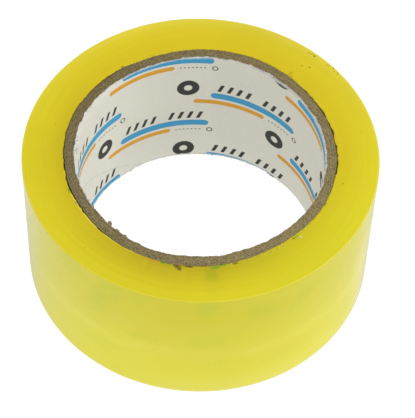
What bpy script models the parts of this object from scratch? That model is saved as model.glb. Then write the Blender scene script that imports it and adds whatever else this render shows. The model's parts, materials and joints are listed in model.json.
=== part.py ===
"""A roll of clear yellow packing tape on a spiral-wound paper core.

The frame has its origin in the middle of the bore and half way across the
width, with +Z along the roll's axis, so the roll stands on one flat end.
Angles are measured from +X towards +Y.

The core is built the way a tube winder builds it: a printed liner ply, seven
kraft plies and a printed outer ply, each one a strip wound as a helix whose
edges meet in a butt seam. The tape is wound on the core, and its free end lies
on the outermost turn. The free end is a chain of short links, so that it can
lift off at the peel line and straighten out.
"""

import math

import bmesh
import bpy
from mathutils import Matrix, Vector

MM = 0.001

# roll and core, in millimetres
ROLL_WIDTH = 50.0
HALF_WIDTH = ROLL_WIDTH / 2
ROLL_RADIUS = 54.50
BORE_RADIUS = 38.10
LINER_THICKNESS = 0.12
KRAFT_THICKNESS = 0.42
OUTER_PLY_THICKNESS = 0.12
PLY_CLEARANCE = 0.05
KRAFT_PLIES = 7
FACETS = 72

# butt seams, in millimetres and degrees; a seam's angle is taken at mid-width
SEAM_PITCH = 143.0
PRINTED_SEAM_GAP = 0.15
KRAFT_SEAM_GAP = 0.40
LINER_SEAM_ANGLE = 270.0
FIRST_KRAFT_SEAM_ANGLE = 182.9
SEAM_STAGGER = 151.0

# seam cutters: how far they pass the ply's faces and ends, and degrees per step
CUTTER_REACH = 1.0
CUTTER_OVERRUN = 5.0
CUTTER_STEP = 15.0

# free end of the tape, in millimetres and degrees
TAPE_THICKNESS = 0.05
TAPE_CLEARANCE = 0.15
TAPE_END_RADIUS = ROLL_RADIUS + TAPE_CLEARANCE  # to the adhesive side
PEEL_LINE_ANGLE = 165.0
CONTACT_ARC = 10.0
LINKS = 7
LINK_ARC = 10.0
LINK_GAP = 0.30
HALF_GAP_ANGLE = math.degrees(LINK_GAP / 2 / TAPE_END_RADIUS)
STRIP_STEPS = 2

# mesh clean-up: merge distances in metres, and the angle of a sharp edge
SCREW_MERGE_DISTANCE = 1e-6
CUTTER_MERGE_DISTANCE = 1e-7
SHARP_ANGLE = 30.0


def clear_scene():
    for obj in list(bpy.data.objects):
        bpy.data.objects.remove(obj, do_unlink=True)


def new_collection(name):
    collection = bpy.data.collections.new(name)
    bpy.context.scene.collection.children.link(collection)
    return collection


def linear(value):
    """One sRGB channel, 0 to 255, as the linear value a shader takes."""
    channel = value / 255.0
    if channel <= 0.04045:
        return channel / 12.92
    return ((channel + 0.055) / 1.055) ** 2.4


def make_material(name, rgb, roughness, coat=0.0):
    color = (*[linear(value) for value in rgb], 1.0)
    material = bpy.data.materials.new(name)
    material.use_nodes = True
    shader = material.node_tree.nodes["Principled BSDF"]
    shader.inputs["Base Color"].default_value = color
    shader.inputs["Roughness"].default_value = roughness
    shader.inputs["Coat Weight"].default_value = coat
    material.diffuse_color = color
    return material


def link_object(name, mesh, collection):
    obj = bpy.data.objects.new(name, mesh)
    collection.objects.link(obj)
    return obj


def rotation_z(angle):
    return Matrix.Rotation(math.radians(angle), 4, "Z")


def profile_mesh(name, points, closed):
    """A chain of edges in the XZ plane, from (radius, height) pairs in mm."""
    mesh = bpy.data.meshes.new(name)
    bm = bmesh.new()
    verts = [bm.verts.new((radius * MM, 0.0, z * MM)) for radius, z in points]
    for start, end in zip(verts, verts[1:]):
        bm.edges.new((start, end))
    if closed:
        bm.edges.new((verts[-1], verts[0]))
    bm.to_mesh(mesh)
    bm.free()
    return mesh


def add_screw(obj, angle, steps):
    """Turns a profile about the Z axis, joining the ends of a full turn."""
    screw = obj.modifiers.new("turn", "SCREW")
    screw.axis = "Z"
    screw.angle = math.radians(angle)
    screw.steps = steps
    screw.render_steps = steps
    screw.use_merge_vertices = angle >= 360.0
    screw.merge_threshold = SCREW_MERGE_DISTANCE
    screw.use_smooth_shade = True


def apply_modifiers(obj):
    """Keeps the evaluated shape as the mesh, shaded smooth round the roll."""
    depsgraph = bpy.context.evaluated_depsgraph_get()
    depsgraph.update()
    mesh = bpy.data.meshes.new_from_object(obj.evaluated_get(depsgraph))
    old_mesh = obj.data
    obj.modifiers.clear()
    obj.data = mesh
    bpy.data.meshes.remove(old_mesh)
    mesh.name = obj.name
    mesh.shade_smooth()
    mesh.set_sharp_from_angle(angle=math.radians(SHARP_ANGLE))


def make_ring(name, inner, outer, collection):
    """A tube of the roll's width, from its section turned about the axis."""
    section = [
        (outer, HALF_WIDTH),
        (outer, -HALF_WIDTH),
        (inner, -HALF_WIDTH),
        (inner, HALF_WIDTH),
    ]
    obj = link_object(name, profile_mesh(name, section, closed=True), collection)
    add_screw(obj, 360.0, FACETS)
    return obj


def make_seam_cutter(name, inner, outer, gap, middle_angle, collection):
    """A helical bar that follows one ply's butt seam from end to end.

    The bar's section is a rectangle in the plane through the axis, so its
    height is the seam's gap divided by the cosine of the helix angle.
    """
    mean_radius = (inner + outer) / 2
    helix_angle = math.atan2(SEAM_PITCH, 2 * math.pi * mean_radius)
    half_height = gap / math.cos(helix_angle) / 2
    span = ROLL_WIDTH + 2 * CUTTER_OVERRUN
    steps = math.ceil(span / SEAM_PITCH * 360.0 / CUTTER_STEP)
    turn = steps * CUTTER_STEP
    rise = turn / 360.0 * SEAM_PITCH
    section = [
        (inner - CUTTER_REACH, -half_height),
        (outer + CUTTER_REACH, -half_height),
        (outer + CUTTER_REACH, half_height),
        (inner - CUTTER_REACH, half_height),
    ]
    start = rotation_z(middle_angle - turn / 2)
    bm = bmesh.new()
    verts = [
        bm.verts.new(start @ Vector((radius * MM, 0.0, (z - rise / 2) * MM)))
        for radius, z in section
    ]
    face = bm.faces.new(verts)
    bmesh.ops.spin(
        bm,
        geom=[face, *face.edges, *face.verts],
        cent=(0.0, 0.0, 0.0),
        axis=(0.0, 0.0, 1.0),
        dvec=(0.0, 0.0, rise / steps * MM),
        angle=math.radians(turn),
        steps=steps,
    )
    bmesh.ops.remove_doubles(bm, verts=bm.verts, dist=CUTTER_MERGE_DISTANCE)
    bmesh.ops.recalc_face_normals(bm, faces=bm.faces)
    mesh = bpy.data.meshes.new(name)
    bm.to_mesh(mesh)
    bm.free()
    cutter = link_object(name, mesh, collection)
    cutter.hide_render = True
    cutter.display_type = "WIRE"
    return cutter


def make_ply(name, inner, outer, gap, seam_angle, material, parts, cutters):
    """One helical strip of paper: a tube slit along its butt seam."""
    ply = make_ring(name, inner, outer, parts)
    cut = ply.modifiers.new("seam", "BOOLEAN")
    cut.operation = "DIFFERENCE"
    cut.solver = "EXACT"
    cut.object = make_seam_cutter(name + "_seam", inner, outer, gap, seam_angle, cutters)
    apply_modifiers(ply)
    ply.data.materials.append(material)


def make_core(parts, cutters):
    """The plies from the bore outwards; returns the winding's inner radius."""
    liner_paper = make_material("liner_paper", rgb=(232, 231, 224), roughness=0.62)
    kraft_board = make_material("kraft_board", rgb=(139, 119, 88), roughness=0.92)
    outer_paper = make_material("outer_paper", rgb=(214, 206, 180), roughness=0.75)

    # each seam after the first kraft ply's is staggered from the one inside it
    seam_angles = [
        (FIRST_KRAFT_SEAM_ANGLE + i * SEAM_STAGGER) % 360.0 for i in range(KRAFT_PLIES + 1)
    ]
    # name, thickness, seam gap, seam angle, material
    plies = [
        ("liner_ply", LINER_THICKNESS, PRINTED_SEAM_GAP, LINER_SEAM_ANGLE, liner_paper),
        *[
            (f"kraft_ply_{number}", KRAFT_THICKNESS, KRAFT_SEAM_GAP, angle, kraft_board)
            for number, angle in enumerate(seam_angles[:-1], start=1)
        ],
        ("outer_ply", OUTER_PLY_THICKNESS, PRINTED_SEAM_GAP, seam_angles[-1], outer_paper),
    ]
    inner = BORE_RADIUS
    for name, thickness, gap, seam_angle, material in plies:
        outer = inner + thickness
        make_ply(name, inner, outer, gap, seam_angle, material, parts, cutters)
        inner = outer + PLY_CLEARANCE
    return inner


def make_winding(inner, parts):
    """All the wound turns of tape, as one tube."""
    winding = make_ring("tape_winding", inner, ROLL_RADIUS, parts)
    apply_modifiers(winding)
    winding.data.materials.append(
        make_material("tape_roll", rgb=(222, 208, 58), roughness=0.16, coat=0.6)
    )


def make_tape_strip(name, high_angle, low_angle, material, parts):
    """A short length of tape lying on the outermost turn."""
    line = [(TAPE_END_RADIUS, HALF_WIDTH), (TAPE_END_RADIUS, -HALF_WIDTH)]
    strip = link_object(name, profile_mesh(name, line, closed=False), parts)
    add_screw(strip, high_angle - low_angle, STRIP_STEPS)
    film = strip.modifiers.new("film", "SOLIDIFY")
    film.thickness = TAPE_THICKNESS * MM
    film.offset = 1.0
    film.use_even_offset = True
    apply_modifiers(strip)
    strip.data.transform(rotation_z(low_angle))
    strip.data.materials.append(material)
    return strip


def make_free_end(parts):
    """A contact length up to the peel line, then the hinged links beyond it.

    Each link's origin is on its hinge axis: a line parallel to the roll's
    axis, on the adhesive side, in the middle of the gap before the link.
    """
    tape_film = make_material("tape_film", rgb=(236, 224, 84), roughness=0.10, coat=0.6)
    previous = make_tape_strip(
        "tape_contact",
        PEEL_LINE_ANGLE + CONTACT_ARC,
        PEEL_LINE_ANGLE + HALF_GAP_ANGLE,
        tape_film,
        parts,
    )
    previous_hinge = Vector((0.0, 0.0, 0.0))
    for number in range(1, LINKS + 1):
        hinge_angle = PEEL_LINE_ANGLE - (number - 1) * LINK_ARC
        hinge = rotation_z(hinge_angle) @ Vector((TAPE_END_RADIUS * MM, 0.0, 0.0))
        link = make_tape_strip(
            f"tape_end_{number}",
            hinge_angle - HALF_GAP_ANGLE,
            hinge_angle - LINK_ARC + HALF_GAP_ANGLE,
            tape_film,
            parts,
        )
        link.data.transform(Matrix.Translation(-hinge))
        link.parent = previous
        link.location = hinge - previous_hinge
        previous = link
        previous_hinge = hinge


clear_scene()
roll_parts = new_collection("packing_tape_roll")
seam_cutters = new_collection("seam_cutters")
winding_inner = make_core(roll_parts, seam_cutters)
make_winding(winding_inner, roll_parts)
make_free_end(roll_parts)
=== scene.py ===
"""A roll of clear yellow packing tape on a spiral-wound paper core.

The roll's axis is Z and its middle is the origin; the camera looks down on the
top cut end from the -Y side. The core is a set of helical paper strips, the
wound tape is one finely ringed body, and the free end is a thin film in pieces
that meet at the middles of the frame's links. Lengths are millimetres and angles are
degrees round the roll from +X, unless a comment says otherwise.
"""

import json
import math

import bpy
import numpy as np
from mathutils import Matrix, Vector


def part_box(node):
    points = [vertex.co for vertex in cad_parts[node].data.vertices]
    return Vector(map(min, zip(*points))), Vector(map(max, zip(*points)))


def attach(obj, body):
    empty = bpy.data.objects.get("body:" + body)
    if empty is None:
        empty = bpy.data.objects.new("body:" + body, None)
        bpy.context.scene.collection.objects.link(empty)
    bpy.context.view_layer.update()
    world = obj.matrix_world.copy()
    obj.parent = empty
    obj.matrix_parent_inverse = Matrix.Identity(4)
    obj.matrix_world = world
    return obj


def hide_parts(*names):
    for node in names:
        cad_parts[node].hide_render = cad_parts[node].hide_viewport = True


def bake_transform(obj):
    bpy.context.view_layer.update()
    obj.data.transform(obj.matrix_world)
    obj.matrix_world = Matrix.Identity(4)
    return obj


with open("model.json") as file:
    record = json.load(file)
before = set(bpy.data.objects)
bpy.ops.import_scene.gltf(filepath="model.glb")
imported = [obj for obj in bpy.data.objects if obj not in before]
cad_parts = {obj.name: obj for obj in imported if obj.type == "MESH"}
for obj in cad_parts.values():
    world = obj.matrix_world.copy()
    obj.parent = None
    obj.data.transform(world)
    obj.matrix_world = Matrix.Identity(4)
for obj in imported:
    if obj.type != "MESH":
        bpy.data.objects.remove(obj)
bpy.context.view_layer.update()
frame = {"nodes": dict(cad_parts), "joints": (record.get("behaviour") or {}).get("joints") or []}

MM = 0.001
TURN = 2 * math.pi
DEGREE = math.pi / 180


# ---------------------------------------------------------------- sizes, from the frame


def node_radii(node):
    """Inner and outer radius of a ring-shaped node."""
    points = np.array([vertex.co for vertex in frame["nodes"][node].data.vertices])
    radius = np.hypot(points[:, 0], points[:, 1]) * 1000
    middle = (radius.min() + radius.max()) / 2
    return float(np.median(radius[radius < middle])), float(radius.max())


def joint_angle(name):
    joint = next(joint for joint in frame["joints"] if joint["name"] == name)
    x, y, _ = joint["pos_m"]
    return math.degrees(math.atan2(y, x)) % 360


KRAFT = [f"kraft_ply_{i}" for i in range(1, 8)]
BORE, LINER_OUT = node_radii("liner_ply")
CORE_OUT = node_radii("outer_ply")[1]
ROLL_OUT = node_radii("tape_winding")[1]
ROLL_SKIN = ROLL_OUT + 0.10  # the outermost turn, still inside the free end
FILM_IN = node_radii("tape_end_3")[0]
HALF = float(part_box("tape_winding")[1].z) * 1000  # half the tape's width, along Z

PITCH = 143.0  # rise of each ply's helix in one turn
SEAM_GAP = 0.12  # between the edges of one ply's strip
PLY_GAP = 0.012  # between one ply and the next
# Angle of each ply's seam at z = 0; each ply is turned on from the one before.
SEAM = {"liner_ply": 270.0}
for ply_index, ply_name in enumerate(KRAFT + ["outer_ply"]):
    SEAM[ply_name] = 182.9 + ply_index * 151.0

PEEL = joint_angle("peel")  # where the free end leaves the winding
LINK_ARC = 10.0  # degrees in each link of the free end
LINKS = 7


def seam_angle(name, z):
    """Angle of a ply's seam at height z."""
    return z * (360 / PITCH) + SEAM[name]


# ---------------------------------------------------------------- noise


def ease(part):
    return part * part * (3 - 2 * part)


def step(x, low, high):
    """0 at low, 1 at high, eased between; low may be the larger."""
    return ease(np.clip((np.asarray(x, float) - low) / (high - low), 0, 1))


def round_curve(turn, table):
    """Eased curve through a table's values, spaced evenly once round."""
    place = (np.asarray(turn) % 1.0) * len(table)
    cell = np.floor(place).astype(int)
    part = ease(place - cell)
    return table[cell % len(table)] * (1 - part) + table[(cell + 1) % len(table)] * part


def ring_noise(turn, cells, seed):
    """Smooth noise from -1 to 1 along one turn (turn 0 to 1 is once round)."""
    return round_curve(turn, np.random.default_rng(seed).uniform(-1, 1, cells))


def grid_noise(turn, across, cells, rows, seed):
    """Smooth noise from -1 to 1 over one turn and a span (across 0 to 1)."""
    table = np.random.default_rng(seed).uniform(-1, 1, (cells, rows + 1))
    x = (np.asarray(turn) % 1.0) * cells
    y = np.clip(across, 0, 0.999999) * rows
    i, j = np.floor(x).astype(int), np.floor(y).astype(int)
    part_x, part_y = ease(x - i), ease(y - j)
    here, after = i % cells, (i + 1) % cells
    low = table[here, j] * (1 - part_x) + table[after, j] * part_x
    high = table[here, j + 1] * (1 - part_x) + table[after, j + 1] * part_x
    return low * (1 - part_y) + high * part_y


# ---------------------------------------------------------------- mesh tools

HIDDEN_ROW = 4  # rows this far from both ends may be built coarser


def add_mesh(name, points, faces, materials):
    """A smooth-shaded object from points in mm."""
    mesh = bpy.data.meshes.new(name)
    mesh.from_pydata((points * MM).tolist(), [], faces)
    mesh.update()
    for material in materials:
        mesh.materials.append(material)
    mesh.shade_smooth()
    obj = bpy.data.objects.new(name, mesh)
    bpy.context.scene.collection.objects.link(obj)
    return obj


def block(name, columns, walls, rows, place, wrap, sharp, materials, spacing=1):
    """A closed body over a lattice: columns round the roll, walls across its
    wall and rows along its axis. place(around, wall, z) gives positions in mm,
    with around from 0 to 1. Only the lattice's skin is built. Face groups:
    0 bore side, 1 outer side, 2 bottom, 3 top, 4 seam faces. Away from the ends,
    only every spacing-th column is kept.
    """
    faces = []
    count = columns if wrap else columns - 1

    def corner(i, j, k):
        return ((i % columns) * len(walls) + j) * len(rows) + k

    def add(corners, group, flip):
        ring = np.stack([c.ravel() for c in corners], 1)
        faces.append((ring[:, ::-1] if flip else ring, group))

    for j, group, flip in ((len(walls) - 1, 1, False), (0, 0, True)):
        for k in range(len(rows) - 1):
            hidden = [HIDDEN_ROW <= row < len(rows) - HIDDEN_ROW for row in (k, k + 1)]
            stride = spacing if any(hidden) else 1
            i = np.arange(0, count, stride)
            low, high = (
                [corner(i + s, j, row) for s in ((0, stride) if coarse else range(stride + 1))]
                for row, coarse in zip((k, k + 1), hidden)
            )
            add(low + high[::-1], group, flip)
    i, j = np.meshgrid(np.arange(count), np.arange(len(walls) - 1), indexing="ij")
    for k, group, flip in ((len(rows) - 1, 3, False), (0, 2, True)):
        corners = [corner(i, j, k), corner(i, j + 1, k), corner(i + 1, j + 1, k), corner(i + 1, j, k)]
        add(corners, group, flip)
    if not wrap:
        j, k = np.meshgrid(np.arange(len(walls) - 1), np.arange(len(rows) - 1), indexing="ij")
        for i, flip in ((columns - 1, False), (0, True)):
            corners = [corner(i, j, k), corner(i, j, k + 1), corner(i, j + 1, k + 1), corner(i, j + 1, k)]
            add(corners, 4, flip)

    # drop the lattice points that no face uses
    every_corner = np.concatenate([ring.ravel() for ring, _ in faces])
    used, index = np.unique(every_corner, return_inverse=True)
    polygons, groups, start = [], [], 0
    for ring, group in faces:
        polygons += index[start : start + ring.size].reshape(ring.shape).tolist()
        groups += [group] * len(ring)
        start += ring.size
    column, rest = np.divmod(used, len(walls) * len(rows))
    wall, row = np.divmod(rest, len(rows))
    points = place(column / count, np.asarray(walls, float)[wall], np.asarray(rows, float)[row])

    obj = add_mesh(name, points, polygons, materials)
    obj.data.polygons.foreach_set("material_index", np.asarray(groups, np.int32))
    obj.data.set_sharp_from_angle(angle=math.radians(sharp))
    return obj


def polar(turn, radius, z):
    angle = turn * TURN
    return np.stack([radius * np.cos(angle), radius * np.sin(angle), z], -1)


def end_rows(depths, inset, count):
    """Rows along the axis: at depths below each end, and count evenly between
    the two insets."""
    depths = np.array(depths)
    between = np.linspace(-HALF + inset, HALF - inset, count)
    return np.concatenate([-HALF + depths, between, HALF - depths[::-1]])


def read_vectors(collection, name):
    values = np.zeros(len(collection) * 3)
    collection.foreach_get(name, values)
    return values.reshape(-1, 3)


def roll_part(obj, slot, *nodes):
    """Let an object ride the roll, in place of the frame's nodes if named."""
    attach(obj, "roll")
    if nodes:
        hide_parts(*nodes)


# ---------------------------------------------------------------- material tools


def operator(operation, swapped=False):
    def apply(self, other):
        first, second = (other, self) if swapped else (self, other)
        return self.graph.math(operation, first, second)

    return apply


class Value:
    """A node output that takes part in sums."""

    def __init__(self, graph, socket):
        self.graph, self.socket = graph, socket

    __add__ = operator("ADD")
    __radd__ = operator("ADD", swapped=True)
    __sub__ = operator("SUBTRACT")
    __rsub__ = operator("SUBTRACT", swapped=True)
    __mul__ = operator("MULTIPLY")
    __rmul__ = operator("MULTIPLY", swapped=True)
    __truediv__ = operator("DIVIDE")

    def __abs__(self):
        return self.graph.math("ABSOLUTE", self)


class Graph:
    """A node tree, built by expressions."""

    def __init__(self, tree):
        self.tree = tree

    def node(self, kind, **values):
        node = self.tree.nodes.new(kind)
        for key, value in values.items():
            setattr(node, key, value)
        return node

    def out(self, node, key=0):
        return Value(self, node.outputs[key])

    def put(self, socket, value):
        """Link a Value, or set a number or an RGB colour."""
        if isinstance(value, Value):
            self.tree.links.new(value.socket, socket)
        elif isinstance(value, tuple):
            socket.default_value = (*value, 1.0)
        else:
            socket.default_value = value

    def math(self, operation, *values):
        node = self.node("ShaderNodeMath", operation=operation)
        for socket, value in zip(node.inputs, values):
            self.put(socket, value)
        return self.out(node)

    def fract(self, x):
        return self.math("FRACT", x)

    def largest(self, first, *others):
        for other in others:
            first = self.math("MAXIMUM", first, other)
        return first

    def map_range(self, x, low, high, start=0.0, end=1.0, kind="LINEAR"):
        node = self.node("ShaderNodeMapRange", interpolation_type=kind)
        for socket, value in zip(node.inputs, (x, low, high, start, end)):
            self.put(socket, value)
        return self.out(node)

    def fade(self, x, zero, one):
        """0 where x is at zero, 1 where it is at one; zero may be the larger."""
        return self.map_range(x, zero, one, kind="SMOOTHSTEP")

    def mix(self, factor, start, end):
        """Mix of two colours."""
        node = self.node("ShaderNodeMix", data_type="RGBA")
        for key, value in ((0, factor), (6, start), (7, end)):
            self.put(node.inputs[key], value)
        return self.out(node, 2)

    def mix_number(self, factor, start, end):
        node = self.node("ShaderNodeMix", data_type="FLOAT")
        for key, value in ((0, factor), (2, start), (3, end)):
            self.put(node.inputs[key], value)
        return self.out(node)

    def scale(self, vector, factor):
        """A vector or colour times a number."""
        node = self.node("ShaderNodeVectorMath", operation="SCALE")
        self.put(node.inputs[0], vector)
        self.put(node.inputs["Scale"], factor)
        return self.out(node)

    def split(self, vector):
        node = self.node("ShaderNodeSeparateXYZ")
        self.put(node.inputs[0], vector)
        return [self.out(node, i) for i in range(3)]

    def vector(self, x, y, z):
        node = self.node("ShaderNodeCombineXYZ")
        for socket, value in zip(node.inputs, (x, y, z)):
            self.put(socket, value)
        return self.out(node)

    def noise(self, vector, scale=1.0, detail=3.0, rough=0.55):
        node = self.node("ShaderNodeTexNoise", noise_dimensions="3D")
        settings = {"Vector": vector, "Scale": scale, "Detail": detail, "Roughness": rough}
        for key, value in settings.items():
            self.put(node.inputs[key], value)
        return self.out(node, "Fac")

    def position(self):
        """Object coordinates in mm."""
        coords = self.node("ShaderNodeTexCoord")
        return self.split(self.scale(self.out(coords, "Object"), 1000.0))

    def radius(self, x, y):
        return self.math("SQRT", x * x + y * y)

    def angle(self, x, y):
        return self.math("ARCTAN2", y, x) * (180 / math.pi)

    def about(self, angle, centre):
        """Angle from centre, from -180 to 180 degrees."""
        return self.fract((angle - centre) / 360.0 + 0.5) * 360.0 - 180.0

    def sector(self, angle, centre, zero, one):
        """1 within `one` degrees of centre, fading to 0 at `zero` degrees."""
        return self.fade(abs(self.about(angle, centre)), zero, one)

    def blob(self, x, y, half_x, half_y, lean=0.0):
        """A soft spot, 1 at x = y = 0, that leans in x by lean times y."""
        if lean:
            x = x - y * lean
        part_x, part_y = x / half_x, y / half_y
        return self.fade(part_x * part_x + part_y * part_y, 1.0, 0.0)


class Material(Graph):
    """A material whose nodes feed one Principled shader."""

    def __init__(self, name, rough, ior=1.5):
        self.data = bpy.data.materials.new(name)
        self.data.use_nodes = True
        super().__init__(self.data.node_tree)
        self.shader = self.tree.nodes["Principled BSDF"]
        self.set("Roughness", rough)
        self.set("IOR", ior)

    def set(self, name, value):
        self.put(self.shader.inputs[name], value)

    def bump(self, height, strength, distance):
        """Bump from height; distance is in metres."""
        node = self.node("ShaderNodeBump")
        for key, value in (("Strength", strength), ("Distance", distance), ("Height", height)):
            self.put(node.inputs[key], value)
        self.set("Normal", self.out(node))

    def outward_view(self, x, y, radius):
        """How far the line of sight leans outward: positive where the eye is on
        the outer side of the surface point."""
        incoming = self.out(self.node("ShaderNodeNewGeometry"), "Incoming")
        view_x, view_y, _ = self.split(incoming)
        return (view_x * x + view_y * y) / radius


def srgb(red, green, blue):
    """Linear colour from sRGB values of 0 to 255."""

    def channel(value):
        part = value / 255.0
        return part / 12.92 if part <= 0.04045 else ((part + 0.055) / 1.055) ** 2.4

    return (channel(red), channel(green), channel(blue))


# ---------------------------------------------------------------- the core's print

# Steps of the repeat, right and down, and the origins of its two half-drop sets.
PRINT_STEP_RIGHT = (61.9, 1.9)
PRINT_STEP_DOWN = (-1.25, 31.3)
PRINT_ORIGINS = ((61.5, 14.4), (30.0, 27.8))
STROKE_STEP = 3.1
DOT_STEP = 1.3
INK_EDGE = 0.06  # half the soft edge of the bars and rings


def print_motif(mat, along, below):
    """One repeat of the print: dark, blue and orange coverage."""

    def line(distance, width):
        return mat.fade(distance, width / 2 + INK_EDGE, width / 2 - INK_EDGE)

    def bar(left, right, middle, width):
        from_middle = abs(along - (left + right) / 2)
        reach = mat.math("MAXIMUM", from_middle - ((right - left - width) / 2), 0.0)
        off = below - middle
        return line(mat.math("SQRT", reach * reach + off * off), width)

    def ring(centre_along, centre_below, radius, width):
        x, y = along - centre_along, below - centre_below
        return line(abs(mat.math("SQRT", x * x + y * y) - radius), width)

    # nine slanted strokes in a row, with the middle one left out
    cell = (along - 9.0 + below * 0.35) / STROKE_STEP
    strokes = mat.fade(abs(mat.fract(cell) - 0.5) * STROKE_STEP, 0.66, 0.54)
    strokes = strokes * mat.fade(abs(below + 0.2), 1.75, 1.62)
    strokes = strokes * mat.fade(cell, -0.01, 0.01) * mat.fade(cell, 9.01, 8.99)
    strokes = strokes * mat.fade(abs(cell - 4.5), 0.49, 0.51)

    big_ring = ring(centre_along=0.0, centre_below=0.4, radius=2.5, width=2.3)
    small_ring = ring(centre_along=39.0, centre_below=7.2, radius=0.85, width=0.36)
    dots = mat.fade(abs(mat.fract(along / DOT_STEP) - 0.5) * DOT_STEP, 0.38, 0.30)
    dots = dots * mat.fade(abs(below - 7.3), 0.30, 0.22)
    dots = dots * mat.fade(along, 27.2, 27.3) * mat.fade(along, 36.6, 36.5)
    return (
        mat.largest(big_ring, strokes, small_ring, dots * 0.7),
        bar(left=7.5, right=38.5, middle=3.8, width=2.7),
        bar(left=2.0, right=26.0, middle=7.1, width=1.9),
    )


def print_pattern(mat, right, down):
    """Dark, blue and orange coverage of the half-drop repeat, at distances to
    the right and down as seen from inside the bore."""
    right_x, right_y = PRINT_STEP_RIGHT
    down_x, down_y = PRINT_STEP_DOWN
    area = right_x * down_y - right_y * down_x
    tilt = math.atan2(right_y, right_x)
    motifs = []
    for origin_x, origin_y in PRINT_ORIGINS:
        x, y = right - origin_x, down - origin_y
        # the place in steps of the repeat, brought back into the first one
        steps_right = (x * down_y - y * down_x) / area
        steps_down = (y * right_x - x * right_y) / area
        steps_right = mat.fract(steps_right + 0.13) - 0.13
        steps_down = mat.fract(steps_down + 0.25) - 0.25
        x = steps_right * right_x + steps_down * down_x
        y = steps_right * right_y + steps_down * down_y
        along = x * math.cos(tilt) + y * math.sin(tilt)
        below = y * math.cos(tilt) - x * math.sin(tilt)
        motifs.append(print_motif(mat, along, below))
    return [mat.largest(*inks) for inks in zip(*motifs)]


# ---------------------------------------------------------------- paper materials


def liner_material():
    """White printed paper that lines the bore."""
    mat = Material("liner_print", rough=0.5)
    x, y, z = mat.position()
    angle = mat.angle(x, y)
    # the print follows the strip, so it breaks at the strip's seam
    seam = seam_angle("liner_ply", z)
    turned = mat.fract((angle - seam) / 360.0) * 360.0 + seam - 360.0
    right = (190.0 - turned) * (DEGREE * BORE)
    dark, blue, orange = print_pattern(mat, right, HALF - z)
    point = mat.vector(x, y, z)
    cloud = mat.noise(point, scale=0.09)
    grain = mat.noise(point, scale=1.7, detail=4, rough=0.6)
    paper = mat.mix(cloud, srgb(224, 223, 210), srgb(233, 232, 220))
    paper = mat.mix(mat.fade(grain, 0.35, 0.75) * 0.28, paper, srgb(213, 209, 195))
    colour = mat.mix(blue, paper, mat.mix(grain, srgb(38, 150, 204), srgb(60, 164, 212)))
    colour = mat.mix(orange, colour, mat.mix(grain, srgb(222, 154, 8), srgb(232, 168, 26)))
    colour = mat.mix(dark * 0.98, colour, mat.mix(grain, srgb(22, 23, 20), srgb(42, 43, 38)))

    # painted shade: a fine darker line in the groove over the butt seam of the kraft ply behind
    line = mat.fract((angle - seam_angle("kraft_ply_1", z)) / 360.0 + 0.5) - 0.5
    away = abs(line) * (TURN * BORE * math.sin(math.atan2(PITCH, TURN * BORE)))
    colour = mat.mix(mat.fade(away, 0.30, 0.05) * 0.30, colour, srgb(170, 156, 128))

    # raw, slightly soiled paper at both cut edges
    torn = mat.noise(mat.vector(angle * 0.35, z * 0.8, 3.0), rough=0.6)
    worn = mat.sector(angle, 32.0, 34.0, 16.0) * mat.fade(z, 0.0, 1.0)
    edge = mat.fade(abs(z) + torn * (worn * 1.6 + 1.6), HALF - 0.35, HALF + 0.45)
    colour = mat.mix(edge * 0.9, colour, mat.mix(grain, srgb(196, 196, 190), srgb(226, 225, 220)))
    rim = mat.fade(abs(z) + grain * 0.7, HALF + 0.05, HALF + 0.45)
    colour = mat.mix(rim * 0.6, colour, srgb(160, 150, 124))

    # painted shade: darker low in the bore and over its -X and +Y sides
    deep = mat.fade(z, 12.0, -20.0) * 0.05
    left = mat.sector(angle, 168.0, 30.0, 8.0) * 0.045
    back = mat.sector(angle, 60.0, 32.0, 10.0) * 0.025
    mat.set("Base Color", mat.scale(colour, 1.0 - deep - left - back))
    mat.set("Roughness", mat.mix(grain, (0.42, 0.42, 0.42), (0.62, 0.62, 0.62)))
    mat.bump(grain * 0.6 + cloud * 0.4, strength=0.25, distance=0.00005)
    return mat.data


def kraft_material(name, seed, tone):
    """Grey-brown core board: long fibres round the roll, flecks and dust."""
    mat = Material(name, rough=0.9, ior=1.45)
    x, y, z = mat.position()
    radius, angle = mat.radius(x, y), mat.angle(x, y)
    point = mat.vector(x + seed * 7.1, y - seed * 3.7, z + seed * 1.9)
    long_point = mat.vector(radius * 7.0 + seed, angle * 0.9, z * 1.5)
    fibre = mat.noise(long_point, detail=4, rough=0.7)
    mottle = mat.noise(point, scale=2.3, detail=4, rough=0.65)
    fleck = mat.noise(point, scale=4.6, rough=0.6)
    broad = mat.noise(point, scale=0.12, detail=2)
    low = tuple(channel * tone for channel in srgb(80, 70, 43))
    high = tuple(channel * tone for channel in srgb(161, 144, 99))
    colour = mat.mix(mat.fade(mottle * 0.5 + fibre * 0.5, 0.34, 0.64), low, high)
    colour = mat.mix(mat.fade(fleck, 0.60, 0.72) * 0.5, colour, srgb(190, 178, 138))
    colour = mat.mix(mat.fade(fleck, 0.40, 0.29) * 0.55, colour, srgb(52, 44, 28))
    # one spot of blue-green ink on the top end
    ink = mat.blob(mat.about(angle, 177.2), radius - 38.9, half_x=1.7, half_y=0.75)
    ink = ink * mat.fade(z, 0.0, 1.0)
    colour = mat.mix(ink * mat.fade(fleck, 0.35, 0.55) * 0.8, colour, srgb(44, 104, 112))
    # painted light and shade: lighter towards 320 degrees and darker round 150 degrees, as the key light
    # falls from +X; broad adds random tone
    side = mat.math("COSINE", (angle - 320.0) * DEGREE)
    dim = mat.sector(angle, 150.0, 45.0, 10.0)
    colour = mat.scale(colour, 0.93 + side * 0.13 + broad * 0.2 - dim * 0.08)
    mat.set("Base Color", colour)
    mat.set("Roughness", mat.fade(fibre, -0.6, 1.1) * 0.2 + 0.78)
    mat.bump(fleck * 0.8 + fibre * 0.7 + mottle * 0.6, strength=1.0, distance=0.00022)
    return mat.data


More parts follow.
